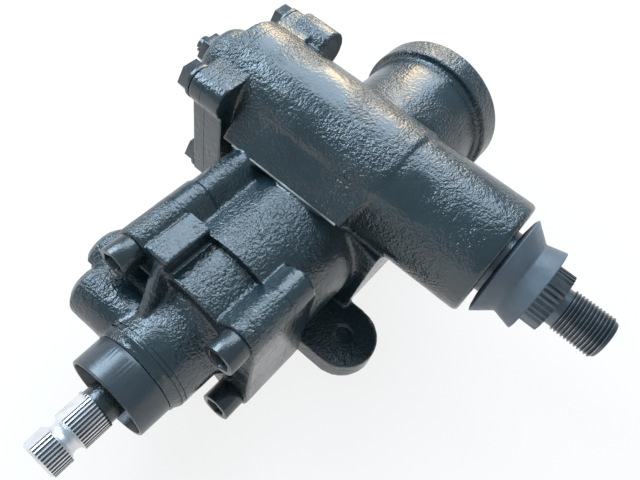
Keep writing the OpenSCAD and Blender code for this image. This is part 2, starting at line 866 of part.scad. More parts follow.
module end_plug_ring() {
    color(steel) from_datum()
        difference() {
            ring_x(snap_x, snap_x + snap_t - seat_gap, bore_r + 2 * snap_t - seat_gap, bore_r - snap_bite);
            translate([snap_x - over, -snap_gap_w / 2, worm_height - bore_r - 3 * snap_t])
                cube([snap_t + 2 * over, snap_gap_w, 3 * snap_t + snap_bite + over]);
        }
}

// Drawn cup needle bearing of the sector shaft
module needle_bearing(y0, y1) {
    color(steel) from_datum() ring_y(y0, y1, trunnion_bore_r - seat_gap, journal_r + run_gap);
}

module sector_bearing_inner() {
    needle_bearing(chamber_end_y - over - inner_bearing_t, chamber_end_y - over);
}

module sector_bearing_outer() {
    needle_bearing(outer_bearing_y, outer_bearing_y + outer_bearing_t);
}

module sector_seal() {
    color(rubber) from_datum()
        ring_y(sector_seal_y, sector_seal_y + sector_seal_t, trunnion_bore_r - seat_gap, journal_r + run_gap);
}

module sector_seal_ring() {
    color(steel) from_datum()
        difference() {
            ring_y(ring_groove_y, ring_groove_y + snap_t - seat_gap, ring_groove_r - seat_gap,
                trunnion_bore_r - snap_bite);
            translate([-snap_gap_w / 2, ring_groove_y - over, sector_h - trunnion_bore_r - 2 * snap_t])
                cube([snap_gap_w, snap_t + 2 * over, 2 * snap_t + snap_bite + over]);
        }
}

module sector_shaft() {
    thread_r = thread_d / 2;
    color(steel) from_datum()
        difference() {
            union() {
                on_sector(face_half)
                    linear_extrude(2 * face_half) {
                        circle(r = hub_r);
                        for (k = [-1 : 1])
                            polygon(sector_tooth(-90 + k * tooth_step));
                    }
                rod_y(cavity_end_y, -face_half + over, hub_r);
                rod_y(boot_seat_y, cavity_end_y + over, journal_r);
                on_sector(boot_seat_y + over)
                    linear_extrude(boot_seat_y + over - spline_end_y)
                        polygon(spline_outline(output_teeth, output_r, output_r - spline_h, master_teeth));
                rod_y(thread_end_y + thread_chamfer, spline_end_y + over, thread_r);
                on_sector(thread_end_y + thread_chamfer)
                    cylinder(h = thread_chamfer, r1 = thread_r, r2 = thread_r - thread_chamfer);
                rod_y(face_half - over, sector_top_y, cover_journal_r);
            }
            rod_y(slot_y - slot_gap, slot_y + head_t + slot_gap, head_r + turn_gap);
            rod_y(slot_y, sector_top_y + over, screw_r + turn_gap);
            translate([0, slot_y - slot_gap, sector_h - head_r - turn_gap])
                cube([cover_journal_r + over, head_t + 2 * slot_gap, 2 * (head_r + turn_gap)]);
            translate([0, slot_y, sector_h - screw_r - turn_gap])
                cube([cover_journal_r + over, sector_top_y - slot_y + over, 2 * (screw_r + turn_gap)]);
        }
}

module dust_boot() {
    inner_r = journal_r + seat_gap;
    lip_r = boot_d / 2;
    waist_r = inner_r + boot_wall;
    color(rubber) from_datum()
        on_sector(trunnion_y - boot_gap)
            rotate_extrude()
                polygon([[inner_r, 0], [waist_r, 0], [waist_r, boot_lip_t], [lip_r, boot_lip_t],
                    [lip_r, 2 * boot_lip_t], [lip_r - boot_wall, 2 * boot_lip_t + chamfer / 2],
                    [waist_r + chamfer / 2, boot_waist_at - boot_wall],
                    [waist_r, boot_waist_at], [waist_r, boot_waist_at + boot_wall],
                    [waist_r + boot_wall, boot_len - boot_lip_t], [waist_r + boot_wall, boot_len],
                    [waist_r + chamfer / 2, boot_len], [inner_r, boot_waist_at + boot_wall]]);
}

// Block of the ball return under the tunnel, with a gap round it and a height
module ball_guide_block(gap, height) {
    translate([nut_centre_x - guide_len / 2 - gap, -guide_w / 2 - gap, guide_top_h - height])
        cube([guide_len + 2 * gap, guide_w + 2 * gap, height]);
}

module rack_piston() {
    color(steel) from_datum()
        difference() {
            rod_x(piston_start_x, piston_end_x, piston_r);
            rod_x(piston_start_x - over, piston_end_x + over, tunnel_r);
            rod_x(piston_end_x - plug_len, piston_end_x + over, tunnel_r + plug_step);
            translate([-rack_half, -piston_r - over, worm_height + rack_pitch_h + addendum])
                cube([2 * rack_half, 2 * (piston_r + over), piston_r]);
            for (k = [-1 : 1])
                translate([0, piston_r + over, worm_height])
                    rotate([90, 0, 0])
                        linear_extrude(2 * (piston_r + over)) polygon(rack_space(k * rack_pitch));
            ring_x(piston_ring_x, piston_ring_x + ring_w, piston_r + over, piston_r - ring_h);
            ball_guide_block(seat_gap, piston_r);
        }
}

module piston_ring() {
    color(polymer) from_datum()
        ring_x(piston_ring_x + seat_gap, piston_ring_x + ring_w - seat_gap, piston_r,
            piston_r - ring_h + seat_gap);
}

module piston_plug() {
    color(dark_steel) from_datum()
        difference() {
            rod_x(piston_end_x - plug_len, piston_end_x, tunnel_r + plug_step - seat_gap);
            rod_x(piston_end_x - piston_socket_t, piston_end_x + over, piston_socket_r);
        }
}

module ball_guide() {
    color(steel) from_datum() ball_guide_block(0, guide_t);
}

module recirculating_balls() {
    count = floor(ball_turns * balls_per_turn);
    color(steel) from_datum()
        for (i = [0 : count])
            on_worm(nut_centre_x)
                rotate(360 * (i - count / 2) / balls_per_turn)
                    translate([ball_circle_r, 0, worm_lead * (i - count / 2) / balls_per_turn])
                        sphere(d = ball_d, $fn = 24);
}

module worm_shaft() {
    thread_end_x = thread_start_x + worm_thread_len;
    color(steel) from_datum()
        difference() {
            union() {
                rod_x(valve_start_x, worm_head_x + over, worm_neck_r);
                rod_x(worm_head_x, worm_head_x + worm_head_t, worm_head_r);
                rod_x(worm_head_x + worm_head_t - over, thread_start_x + over / 2, worm_r);
                on_worm(thread_start_x)
                    rotate(360 * (thread_start_x - nut_centre_x) / worm_lead)
                        linear_extrude(worm_thread_len, twist = -360 * worm_thread_len / worm_lead,
                            slices = worm_slices, segments = worm_points)
                            polygon(worm_outline(worm_points));
                rod_x(thread_end_x - over, thread_end_x + worm_tail_len, worm_core_r);
            }
            rod_x(valve_start_x - over, thread_start_x, bar_r + turn_gap);
            rod_x(thread_start_x - over, bar_end_x, bar_r + seat_gap);
            drive_pin_rod(pin_r + seat_gap);
        }
}

module valve_sleeve() {
    color(dark_steel) from_datum()
        difference() {
            ring_x(valve_end_x, valve_start_x, valve_r, spool_r + run_gap);
            for (k = [0 : ring_count - 1])
                ring_x(valve_ring_x(k), valve_ring_x(k) + valve_ring_w, valve_r + over,
                    valve_r - valve_ring_w);
            drive_pin_rod(pin_r + seat_gap);
        }
}

module valve_rings() {
    color(polymer) from_datum()
        for (k = [0 : ring_count - 1])
            ring_x(valve_ring_x(k) + seat_gap, valve_ring_x(k) + valve_ring_w - seat_gap, valve_r,
                valve_r - valve_ring_w + seat_gap);
}

module torsion_bar() {
    color(steel) from_datum() rod_x(bar_start_x, bar_end_x, bar_r);
}

module drive_pin() {
    color(steel) from_datum() drive_pin_rod(pin_r);
}

module input_spline(x, length) {
    on_worm(x) linear_extrude(length) polygon(spline_outline(input_teeth, input_r, input_root_r, 0));
}

module input_shaft() {
    groove_r = input_root_r - input_groove_h;
    half_groove = input_groove_len / 2;
    color(steel) from_datum()
        difference() {
            union() {
                input_spline(shaft_tip_x + over, input_tip_len - over);
                on_worm(shaft_tip_x) cylinder(h = over, r1 = input_root_r - over, r2 = input_root_r);
                on_worm(groove_x)
                    rotate_extrude()
                        polygon([[0, 0], [input_root_r, 0], [groove_r + chamfer / 3, half_groove - chamfer],
                            [groove_r, half_groove], [groove_r + chamfer / 3, half_groove + chamfer],
                            [input_root_r, input_groove_len], [0, input_groove_len]]);
                input_spline(second_spline_x, second_spline_len);
                rod_x(second_spline_x + second_spline_len - over, valve_end_x - over, input_journal_r);
                rod_x(valve_end_x - chamfer, valve_start_x - spool_gap, spool_r);
            }
            rod_x(bar_start_x, valve_start_x + over, bar_r + turn_gap);
            translate([shaft_tip_x - over, 0, worm_height])
                rotate([-flat_turn, 0, 0])
                    translate([0, -2 * input_r, input_root_r - flat_h])
                        cube([second_spline_x + second_spline_len - shaft_tip_x, 4 * input_r, input_r]);
        }
}

gear_housing();
side_cover();
side_cover_gasket();
side_cover_bolts();
cover_bush();
adjuster_screw();
adjuster_lock_nut();
valve_housing();
valve_housing_seal();
valve_housing_bolts();
input_sleeve();
input_seal();
input_bearing();
worm_bearing_inner();
worm_bearing_outer();
worm_bearing_nut();
pressure_seat();
return_seat();
end_plug();
end_plug_seal();
end_plug_ring();
sector_bearing_inner();
sector_bearing_outer();
sector_seal();
sector_seal_ring();
sector_shaft();
dust_boot();
rack_piston();
piston_ring();
piston_plug();
ball_guide();
recirculating_balls();
worm_shaft();
valve_sleeve();
valve_rings();
torsion_bar();
drive_pin();
input_shaft();
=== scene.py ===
"""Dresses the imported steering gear: painted castings, machined shaft ends, rubber boot, studio and camera."""

import json
import logging
import math
from dataclasses import dataclass, field
from enum import Enum

import bmesh
import bpy
from mathutils import Matrix, Vector, noise


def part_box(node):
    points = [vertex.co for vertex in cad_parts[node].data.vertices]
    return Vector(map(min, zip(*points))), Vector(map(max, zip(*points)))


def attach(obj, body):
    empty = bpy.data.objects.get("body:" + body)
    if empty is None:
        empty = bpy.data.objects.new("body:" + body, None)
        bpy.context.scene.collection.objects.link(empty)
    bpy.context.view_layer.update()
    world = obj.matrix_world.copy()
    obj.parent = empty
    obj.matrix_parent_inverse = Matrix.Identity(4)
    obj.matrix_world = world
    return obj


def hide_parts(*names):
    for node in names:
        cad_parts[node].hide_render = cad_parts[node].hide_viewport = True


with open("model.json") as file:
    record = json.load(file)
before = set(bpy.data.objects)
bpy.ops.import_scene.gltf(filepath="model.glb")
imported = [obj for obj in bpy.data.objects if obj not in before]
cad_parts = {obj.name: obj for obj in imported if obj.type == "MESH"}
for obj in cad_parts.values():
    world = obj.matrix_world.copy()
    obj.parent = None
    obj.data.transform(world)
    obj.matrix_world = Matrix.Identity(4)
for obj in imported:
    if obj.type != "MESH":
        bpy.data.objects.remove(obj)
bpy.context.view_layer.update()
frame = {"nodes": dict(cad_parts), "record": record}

log = logging.getLogger("steering_gear")

Colour = tuple[float, float, float]
Point = tuple[float, float, float]
Pair = tuple[float, float]
Tree = bpy.types.NodeTree
Socket = bpy.types.NodeSocket

MM = 0.001
FULL_TURN = 2 * math.pi
QUARTER_TURN = math.pi / 2
X, Y, Z = range(3)

# Play round a seated piece and overshoot of a tool, in millimetres
FIT = 0.08
OVER = 1.0

# Extra width of the plug in a bore and its depth below the mouth, in millimetres
FILL = 0.6
SINK = 1.2

# Vertices nearer than this, in millimetres, are joined
MERGE = 0.002

# Faces that meet at a smaller angle are joined
FLAT_ANGLE = math.radians(0.5)

# Sides of a round piece
ROUND = 96


class Axis(Enum):
    """Direction that a turned tool or a shaft points along."""

    X = "x"
    Y = "y"
    Z = "z"

    def turn(self) -> Matrix:
        """Finds the rotation that takes local z to this axis.

        Returns:
            The rotation.
        """
        turns = {Axis.X: Matrix.Rotation(QUARTER_TURN, 4, "Y"),
                 Axis.Y: Matrix.Rotation(-QUARTER_TURN, 4, "X"),
                 Axis.Z: Matrix.Identity(4)}
        return turns[self]

    def along(self) -> Vector:
        """Gives the unit vector of this axis."""
        return self.turn() @ Vector((0, 0, 1))


class Pattern(Enum):
    """How a surface varies at small scale."""

    CAST = "cast"
    SMOOTH = "smooth"
    TURNED = "turned"


@dataclass(frozen=True)
class Finish:
    """A procedural surface: colour that varies, roughness that varies and a bump."""

    name: str
    dark: Colour
    light: Colour
    rough_low: float
    rough_high: float
    pattern: Pattern
    metallic: float = 0.0
    grain_mm: float = 2.0
    bump_mm: float = 0.1
    specular: float = 0.5
    broad_mm: float = 18.0
    broad_detail: float = 3.0
    fine_detail: float = 2.0
    octave_fade: float = 0.55
    tone_band: Pair = (0.35, 0.65)
    rough_band: Pair = (0.3, 0.7)
    tool_marks: tuple[float, float, float] = (4.0, 4.0, 0.6)
    smooth_share: float = 0.25
    smooth_band: Pair = (0.4, 0.62)
    patch_mm: float = 30.0
    patch_detail: float = 1.0
    lump_ratio: float = 2.6
    lump_share: float = 0.8

    def material(self) -> bpy.types.Material:
        """Builds the node material once and gives it back.

        Returns:
            The material of this finish.
        """
        known = bpy.data.materials.get(self.name)
        if known is not None:
            return known
        made = bpy.data.materials.new(self.name)
        made.use_nodes = True
        self._wire(made.node_tree)
        return made

    def _wire(self, tree: Tree) -> None:
        """Wires colour, roughness and bump into the shader.

        Args:
            tree: Node tree of the material.
        """
        shader = tree.nodes["Principled BSDF"]
        coords = tree.nodes.new("ShaderNodeTexCoord").outputs["Object"]
        shader.inputs["Metallic"].default_value = self.metallic
        shader.inputs["Specular IOR Level"].default_value = self.specular
        broad = self._noise(tree, coords, self.broad_mm, self.broad_detail)
        fine = self._noise(tree, self._stretched(tree, coords), self.grain_mm, self.fine_detail)
        tree.links.new(self._tone(tree, broad), shader.inputs["Base Color"])
        rough = self._spread(tree, fine, self.rough_band, (self.rough_low, self.rough_high))
        tree.links.new(rough, shader.inputs["Roughness"])
        bump = tree.nodes.new("ShaderNodeBump")
        bump.inputs["Strength"].default_value = 1.0
        bump.inputs["Distance"].default_value = self.bump_mm * MM
        height = fine
        if self.pattern is Pattern.CAST:
            height = self._cast_height(tree, coords, fine)
            patches = self._noise(tree, coords, self.patch_mm, self.patch_detail)
            shown = self._spread(tree, patches, self.smooth_band, (self.smooth_share, 1.0))
            tree.links.new(shown, bump.inputs["Strength"])
        tree.links.new(height, bump.inputs["Height"])
        tree.links.new(bump.outputs["Normal"], shader.inputs["Normal"])

    def _stretched(self, tree: Tree, coords: Socket) -> Socket:
        """Squeezes the grain across a turned surface, so that it runs round like tool marks.

        Args:
            tree: Node tree of the material.
            coords: Object coordinates.

        Returns:
            The coordinates that the fine grain reads.
        """
        if self.pattern is not Pattern.TURNED:
            return coords
        mapping = tree.nodes.new("ShaderNodeMapping")
        mapping.inputs["Scale"].default_value = self.tool_marks
        tree.links.new(coords, mapping.inputs["Vector"])
        return mapping.outputs["Vector"]

    def _noise(self, tree: Tree, coords: Socket, size_mm: float, detail: float) -> Socket:
        """Adds a noise of a grain size.

        Args:
            tree: Node tree of the material.
            coords: Coordinates that the noise reads.
            size_mm: Size of a grain.
            detail: Octaves of the noise.

        Returns:
            The noise's value.
        """
        made = tree.nodes.new("ShaderNodeTexNoise")
        made.inputs["Scale"].default_value = 1.0 / (size_mm * MM)
        made.inputs["Detail"].default_value = detail
        made.inputs["Roughness"].default_value = self.octave_fade
        tree.links.new(coords, made.inputs["Vector"])
        return made.outputs["Fac"]

    def _tone(self, tree: Tree, value: Socket) -> Socket:
        """Turns a noise into a colour between the two tones.

        Args:
            tree: Node tree of the material.
            value: The noise's value.

        Returns:
            The colour.
        """
        ramp = tree.nodes.new("ShaderNodeValToRGB")
        for stop, place, tone in zip(ramp.color_ramp.elements, self.tone_band, (self.dark, self.light)):
            stop.position = place
            stop.color = (*tone, 1.0)
        tree.links.new(value, ramp.inputs["Fac"])
        return ramp.outputs["Color"]

    def _spread(self, tree: Tree, value: Socket, band: Pair, ends: Pair) -> Socket:
        """Maps the middle band of a noise to a range of its own.

        Args:
            tree: Node tree of the material.
            value: The noise's value.
            band: Band of the noise that counts.
            ends: What the low and the high end of the band become.

        Returns:
            The mapped value.
        """
        spread = tree.nodes.new("ShaderNodeMapRange")
        for name, number in zip(("From Min", "From Max", "To Min", "To Max"), (*band, *ends)):
            spread.inputs[name].default_value = number
        tree.links.new(value, spread.inputs["Value"])
        return spread.outputs["Result"]

    def _cast_height(self, tree: Tree, coords: Socket, fine: Socket) -> Socket:
        """Adds the lumps and pits of a sand mould to the fine grain.

        Args:
            tree: Node tree of the material.
            coords: Object coordinates.
            fine: The fine grain.

        Returns:
            The height of the surface.
        """
        lumps = self._noise(tree, coords, self.lump_ratio * self.grain_mm, self.fine_detail)
        add = tree.nodes.new("ShaderNodeMath")
        add.operation = "MULTIPLY_ADD"
        add.inputs[1].default_value = self.lump_share
        tree.links.new(lumps, add.inputs[0])
        tree.links.new(fine, add.inputs[2])
        return add.outputs["Value"]


CAST_PAINT = Finish(
    "gloss_black_on_cast_iron", (0.009, 0.024, 0.030), (0.017, 0.037, 0.046), 0.12, 0.24, Pattern.CAST,
    grain_mm=1.5, bump_mm=0.9, specular=1.0)
BOLT_PAINT = Finish(
    "gloss_black_on_bolts", (0.012, 0.021, 0.025), (0.020, 0.031, 0.036), 0.16, 0.3, Pattern.SMOOTH,
    grain_mm=1.0, bump_mm=0.12, specular=1.0)
SLEEVE_PAINT = Finish(
    "satin_dark_sleeve", (0.030, 0.042, 0.051), (0.043, 0.058, 0.069), 0.24, 0.34, Pattern.SMOOTH,
    grain_mm=0.8, bump_mm=0.01, specular=0.8)
BRIGHT_STEEL = Finish(
    "bright_machined_steel", (0.72, 0.72, 0.74), (0.88, 0.88, 0.89), 0.34, 0.5, Pattern.TURNED,
    metallic=1.0, grain_mm=0.7, bump_mm=0.03)
# Painted shade: a darker copy of the bright steel for the faces between the spline teeth, where shade falls.
GAP_SHADE_STEEL = Finish(
    "painted_shade_tooth_gaps", (0.11, 0.1, 0.1), (0.24, 0.22, 0.22), 0.35, 0.5, Pattern.TURNED,
    metallic=1.0, grain_mm=0.7, bump_mm=0.03)
DARK_STEEL = Finish(
    "dark_oiled_steel", (0.09, 0.11, 0.13), (0.18, 0.21, 0.235), 0.26, 0.44, Pattern.TURNED,
    metallic=1.0, grain_mm=1.0, bump_mm=0.02)
# Painted highlight: a lighter copy of the dark steel for the thread crests, standing in for the glints along
# them.
CREST_HIGHLIGHT_STEEL = Finish(
    "painted_highlight_thread_crests", (0.3, 0.31, 0.33), (0.6, 0.6, 0.61), 0.2, 0.36, Pattern.TURNED,
    metallic=1.0, grain_mm=1.4, bump_mm=0.02)
INNER_STEEL = Finish(
    "ground_inner_steel", (0.42, 0.42, 0.43), (0.55, 0.55, 0.56), 0.2, 0.36, Pattern.TURNED,
    metallic=1.0, grain_mm=1.2, bump_mm=0.01)
BOOT_RUBBER = Finish(
    "satin_boot_rubber", (0.1, 0.122, 0.146), (0.15, 0.178, 0.208), 0.32, 0.48, Pattern.SMOOTH,
    grain_mm=2.6, bump_mm=0.12)
# Painted highlight: a light colour for the beads along the chamber ledges, standing in for the glint on their
# edges.
LEDGE_GLINT_PAINT = Finish(
    "painted_glint_ledge_edge", (0.1, 0.11, 0.11), (0.55, 0.53, 0.48), 0.3, 0.45, Pattern.SMOOTH,
    grain_mm=1.2, bump_mm=0.05)
SEAL_RUBBER = Finish(
    "matt_seal_rubber", (0.012, 0.012, 0.013), (0.022, 0.022, 0.024), 0.55, 0.7, Pattern.SMOOTH,
    grain_mm=0.8, bump_mm=0.03)
BRONZE = Finish(
    "turned_bronze", (0.42, 0.27, 0.1), (0.58, 0.4, 0.17), 0.25, 0.4, Pattern.TURNED,
    metallic=1.0, grain_mm=1.0, bump_mm=0.015)
RING_POLYMER = Finish(
    "white_ring_polymer", (0.6, 0.59, 0.54), (0.72, 0.71, 0.66), 0.4, 0.55, Pattern.SMOOTH,
    grain_mm=1.5, bump_mm=0.02)


def span(node: str, axis: int) -> Pair:
    """Gives a node's low and high end along an axis.

    Args:
        node: Name of the CAD node.
        axis: X, Y or Z.

    Returns:
        Both ends, in millimetres.
    """
    low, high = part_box(node)
    return low[axis] / MM, high[axis] / MM


def half(node: str, axis: int) -> float:
    """Gives half of a node's size along an axis, which is the radius of a turned node."""
    low, high = span(node, axis)
    return (high - low) / 2


def middle(node: str, axis: int) -> float:
    """Gives the middle of a node along an axis, in millimetres."""
    return sum(span(node, axis)) / 2


WORM_Y = middle("worm_shaft", Y)
WORM_Z = middle("worm_shaft", Z)
SECTOR_Z = middle("dust_boot", Z)


def mount(name: str) -> tuple[Vector, dict[str, float]]:
    """Finds a mount of the record.

    Args:
        name: Name of the mount.

    Returns:
        Its place in millimetres and its sizes.
    """
    found = next(m for m in frame["record"]["mounts"] if m["name"] == name)
    return Vector(found["pos_m"]) / MM, found["dims"]


@dataclass(frozen=True)
class Rod:
    """A turned tool: a cylinder along an axis, in millimetres of the part's frame."""

    axis: Axis
    start: Point
    length: float
    radius: float

    def add_to(self, bm: bmesh.types.BMesh, steps: int = ROUND) -> None:
        """Adds the cylinder to a mesh.

        Args:
            bm: Mesh that receives it.
            steps: Sides of the cylinder.
        """
        radius = self.radius * MM
        placed = Matrix.Translation(Vector(self.start) * MM) @ self.axis.turn()
        placed = placed @ Matrix.Translation((0, 0, self.length * MM / 2))
        bmesh.ops.create_cone(bm, cap_ends=True, segments=steps, radius1=radius, radius2=radius,
                              depth=self.length * MM, matrix=placed)

    def fill(self, bm: bmesh.types.BMesh) -> None:
        """Adds the plug that closes the bore while the skin is made: wider, and sunk below the mouth.

        Args:
            bm: Mesh of the casting.
        """
        length = self.length - 2 * SINK
        if length > FILL:
            start = Vector(self.start) + self.axis.turn() @ Vector((0, 0, SINK))
            Rod(self.axis, tuple(start), length, self.radius + FILL).add_to(bm)


@dataclass(frozen=True)
class Block:
    """A milled tool: a box between two corners, in millimetres of the part's frame."""

    low: Point
    high: Point

    def add_to(self, bm: bmesh.types.BMesh) -> None:
        """Adds the box to a mesh.

        Args:
            bm: Mesh that receives it.
        """
        low, high = Vector(self.low), Vector(self.high)
        placed = Matrix.Translation((low + high) / 2 * MM) @ Matrix.Diagonal((*((high - low) * MM), 1.0))
        bmesh.ops.create_cube(bm, size=1.0, matrix=placed)

    def fill(self, bm: bmesh.types.BMesh) -> None:
        """Adds the plug that closes the pocket while the skin is made: wider, and sunk along y.

        Args:
            bm: Mesh of the casting.
        """
        grow = Vector((FILL, -SINK, FILL))
        Block(tuple(Vector(self.low) - grow), tuple(Vector(self.high) + grow)).add_to(bm)


@dataclass(frozen=True)
class Hoop:
    """A facing tool: a ring round the worm (X) or the sector shaft (Y), in millimetres."""

    axis: Axis
    start: float
    end: float
    inner: float
    outer: float

    def add_to(self, bm: bmesh.types.BMesh) -> None:
        """Adds the ring to a mesh.

        Args:
            bm: Mesh that receives it.
        """
        centre = Vector((0, WORM_Y, WORM_Z) if self.axis is Axis.X else (0, 0, SECTOR_Z)) * MM
        along = self.axis.along()
        sides = [(self.start, self.inner), (self.end, self.inner), (self.end, self.outer),
                 (self.start, self.outer)]
        verts = [bm.verts.new(centre + along * at * MM + Vector((0, 0, r * MM))) for at, r in sides]
        edges = [bm.edges.new(pair) for pair in zip(verts, verts[1:] + verts[:1])]
        bmesh.ops.spin(bm, geom=[*verts, *edges], axis=along, cent=centre, angle=FULL_TURN, steps=ROUND,
                       use_merge=True)
        bmesh.ops.recalc_face_normals(bm, faces=bm.faces)


@dataclass(frozen=True)
class JointFace:
    """A machined face of a casting, round a spigot where one passes through it, in millimetres."""

    axis: Axis
    place: float
    outward: int
    spigot: float = 0.0
    allowance: float = 2.0
    slab: float = 4.0
    lap: float = 0.2
    seam: float = 0.12
    cut: float = 6.0
    reach: float = 95.0

    def thicken(self, bm: bmesh.types.BMesh) -> None:
        """Adds the machining allowance: the slab behind the face once more, moved outward.

        Args:
            bm: Mesh of the casting.
        """
        along = self.axis.along()
        slab = bm.copy()
        behind = along * (self.place - self.outward * self.slab) * MM
        front = along * (self.place + self.outward * self.lap) * MM
        for point, side in ((behind, -self.outward), (front, self.outward)):
            geom = [*slab.verts, *slab.edges, *slab.faces]
            cut = bmesh.ops.bisect_plane(slab, geom=geom, plane_co=point, plane_no=along * side,
                                         clear_outer=True)
            rim = [e for e in cut["geom_cut"] if isinstance(e, bmesh.types.BMEdge)]
            bmesh.ops.triangle_fill(slab, use_beauty=True, edges=rim)
        bmesh.ops.translate(slab, verts=slab.verts, vec=along * self.outward * self.allowance * MM)
        mesh = mesh_from(slab, "allowance")
        bm.from_mesh(mesh)
        bpy.data.meshes.remove(mesh)

    def tool(self) -> "Rod | Hoop":
        """Finds the tool that faces the joint off.

        Returns:
            A ring where a spigot passes through, or else a disc.
        """
        face = self.place - self.outward * self.seam
        start, end = sorted((face, face + self.outward * self.cut))
        if self.spigot:
            return Hoop(self.axis, start, end, self.spigot, self.reach)
        return rod_x(start, end, self.reach) if self.axis is Axis.X else rod_y(start, end, self.reach)


def rod_x(start: float, end: float, radius: float, place: Pair | None = None) -> Rod:
    """Gives a rod along the worm, or beside it at a (y, z) place."""
    y, z = place or (WORM_Y, WORM_Z)
    return Rod(Axis.X, (start, y, z), end - start, radius)


def rod_y(start: float, end: float, radius: float, place: Pair | None = None) -> Rod:
    """Gives a rod along the sector shaft, or beside it at an (x, z) place."""
    x, z = place or (0.0, SECTOR_Z)
    return Rod(Axis.Y, (x, start, z), end - start, radius)


def rod_z(start: float, end: float, radius: float, place: Pair) -> Rod:
    """Gives an upright rod at an (x, y) place."""
    return Rod(Axis.Z, (*place, start), end - start, radius)


def new_piece(name: str, mesh: bpy.types.Mesh) -> bpy.types.Object:
    """Links a new object that holds a mesh.

    Args:
        name: Name of the piece.
        mesh: Its mesh, in place.

    Returns:
        The object, at the origin.
    """
    piece = bpy.data.objects.new(name, mesh)
    bpy.context.scene.collection.objects.link(piece)
    return piece


def mesh_from(bm: bmesh.types.BMesh, name: str) -> bpy.types.Mesh:
    """Writes a bmesh to a new mesh and frees it.

    Args:
        bm: Source.
        name: Name of the mesh.

    Returns:
        The mesh.
    """
    mesh = bpy.data.meshes.new(name)
    bm.to_mesh(mesh)
    bm.free()
    return mesh


def merged_copy(node: str) -> bmesh.types.BMesh:
    """Copies a node's mesh and joins its loose triangles.

    Args:
        node: Name of the CAD node.

    Returns:
        The joined copy.
    """
    bm = bmesh.new()
    bm.from_mesh(frame["nodes"][node].data)
    bmesh.ops.remove_doubles(bm, verts=bm.verts, dist=MERGE * MM)
    bm.verts.index_update()
    return bm


def island(start: bmesh.types.BMVert) -> list[bmesh.types.BMVert]:
    """Collects the vertices that edges join to one vertex.

    Args:
        start: The first vertex.

    Returns:
        All the vertices of its solid.
    """
    found = [start]
    seen = {start.index}
    for vert in found:
        for edge in vert.link_edges:
            other = edge.other_vert(vert)
            if other.index not in seen:
                seen.add(other.index)
                found.append(other)
    return found


def bolt_axes(node: str, first: int, second: int) -> list[Pair]:
    """Finds where the separate bolts of a node stand.

    Args:
        node: Name of the CAD node that holds the bolts.
        first: First axis of the place.
        second: Second axis of the place.

    Returns:
        One place per bolt, in millimetres.
    """
    bm = merged_copy(node)
    seen = set()
    places = []
    for vert in bm.verts:
        if vert.index in seen:
            continue
        solid = island(vert)
        seen.update(v.index for v in solid)
        ends = [(min(v.co[a] for v in solid), max(v.co[a] for v in solid)) for a in (first, second)]
        places.append(tuple((low + high) / 2 / MM for low, high in ends))
    bm.free()
    return places


def soften(mesh: bpy.types.Mesh, angle: float) -> None:
    """Shades a mesh smooth and keeps the edges sharper than an angle.

    Args:
        mesh: Mesh to shade.
        angle: Angle in degrees.
    """
    mesh.shade_smooth()
    mesh.set_sharp_from_angle(angle=math.radians(angle))


def paint(piece: bpy.types.Object, *finishes: Finish) -> None:
    """Gives a piece its finishes, in the order of its faces' material numbers.

    Args:
        piece: Object to dress.
        finishes: Its finishes.
    """
    if piece.data.materials:
        piece.data.materials.clear()
    for finish in finishes:
        piece.data.materials.append(finish.material())


def settle(piece: bpy.types.Object) -> None:
    """Applies a piece's modifiers to its mesh.

    Args:
        piece: Object with modifiers.
    """
    graph = bpy.context.evaluated_depsgraph_get()
    mesh = bpy.data.meshes.new_from_object(piece.evaluated_get(graph))
    piece.modifiers.clear()
    old = piece.data
    piece.data = mesh
    bpy.data.meshes.remove(old)


def enrol(piece: bpy.types.Object, body: str, slot: str, *nodes: str) -> None:
    """Puts a finished piece on its body, in the place of its nodes.

    Args:
        piece: The finished piece.
        body: Body that it rides on.
        slot: Material slot of the record; not used.
        nodes: CAD nodes that it stands for.
    """
    if nodes:
        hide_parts(*nodes)
    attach(piece, body)
    log.info("%s: %d faces", piece.name, len(piece.data.polygons))


